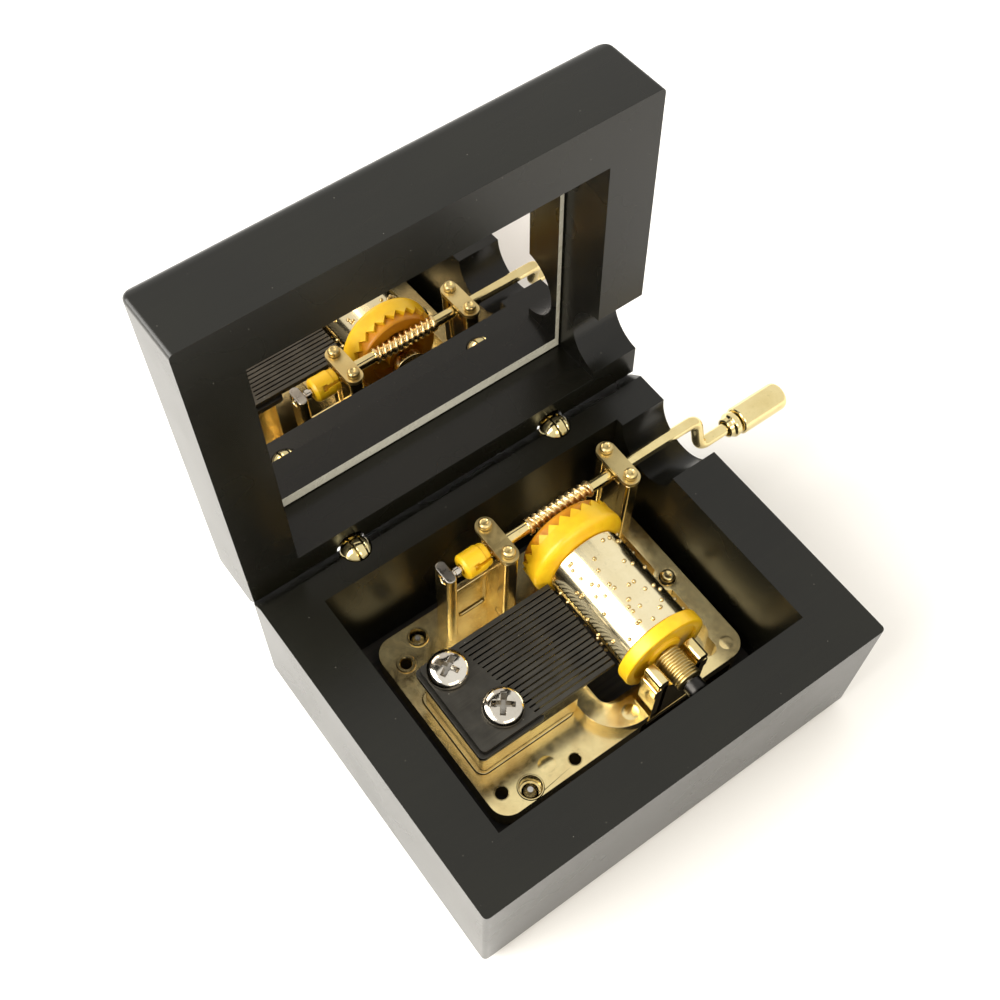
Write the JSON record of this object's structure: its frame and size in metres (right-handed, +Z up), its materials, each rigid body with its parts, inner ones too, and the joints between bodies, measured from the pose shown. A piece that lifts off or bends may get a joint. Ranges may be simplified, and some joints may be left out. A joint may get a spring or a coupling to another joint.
{
  "type": "music box",
  "caption": "Hand-cranked cylinder music box in a black lacquered wooden case, with a mirrored hinged lid and a worm-driven gilt movement.",
  "frame": {"origin": "middle of the underside of the case, on the surface it stands on", "axes": "+X to the crank side, +Y to the hinge side, +Z up; rest pose has the lid fully open"},
  "size_m": [0.0988, 0.0789, 0.0875],
  "materials": {
    "lacquer": "black satin lacquer",
    "board": "thin board stained black",
    "mirror": "silvered glass with ground edges",
    "gold": "polished pale gold plating",
    "nickel": "bright nickel plating",
    "comb_steel": "dark ground spring steel",
    "steel": "plain turned steel",
    "yellow_plastic": "moulded yellow plastic",
    "black_plastic": "black"
  },
  "bodies": {
    "case": {"case_body": "lacquer", "bottom_panel": "board", "bedplate": "gold", "front_fork": "gold", "comb_base": "comb_steel", "comb": "comb_steel", "comb_screw_back": "nickel", "comb_screw_front": "nickel", "bearing_cap_left": "gold", "bearing_cap_right": "gold", "cap_rivet_left_front": "gold", "cap_rivet_left_back": "gold", "cap_rivet_right_front": "gold", "cap_rivet_right_back": "gold", "rail_rivet": "gold", "mount_screw_front": "steel", "mount_screw_back": "steel", "mount_screw_side": "steel", "hinge_left_case_half": "gold", "hinge_left_pin": "steel", "hinge_right_case_half": "gold", "hinge_right_pin": "steel"},
    "lid": {"lid_shell": "lacquer", "mirror": "mirror", "hinge_left_lid_half": "gold", "hinge_right_lid_half": "gold"},
    "crank": {"crank_shaft": "gold", "clutch": "yellow_plastic", "pivot_pin": "nickel"},
    "knob": {"knob_collar": "gold", "knob": "gold"},
    "cylinder": {"pinned_barrel": "gold", "worm_wheel": "yellow_plastic", "front_flange": "yellow_plastic", "ridged_bush": "gold", "arbor": "steel", "end_cap": "black_plastic"}
  },
  "joints": [
    {"name": "lid_hinge", "type": "hinge", "parent": "case", "child": "lid", "pos_m": [0, 0.02887, 0.02732], "axis": [1, 0, 0], "range_deg": [0, 92.8]},
    {"name": "crank_spin", "type": "hinge", "parent": "case", "child": "crank", "pos_m": [0, 0.0169, 0.0262], "axis": [1, 0, 0], "continuous": true},
    {"name": "knob_spin", "type": "hinge", "parent": "crank", "child": "knob", "pos_m": [0.052, 0.015, 0.0205], "axis": [1, 0, 0], "continuous": true},
    {"name": "cylinder_spin", "type": "hinge", "parent": "case", "child": "cylinder", "pos_m": [0.0112, 0, 0.0209], "axis": [0, 1, 0], "continuous": true}
  ],
  "couplings": [
    {"joint": "cylinder_spin", "follows": "crank_spin", "ratio": -0.041667}
  ]
}
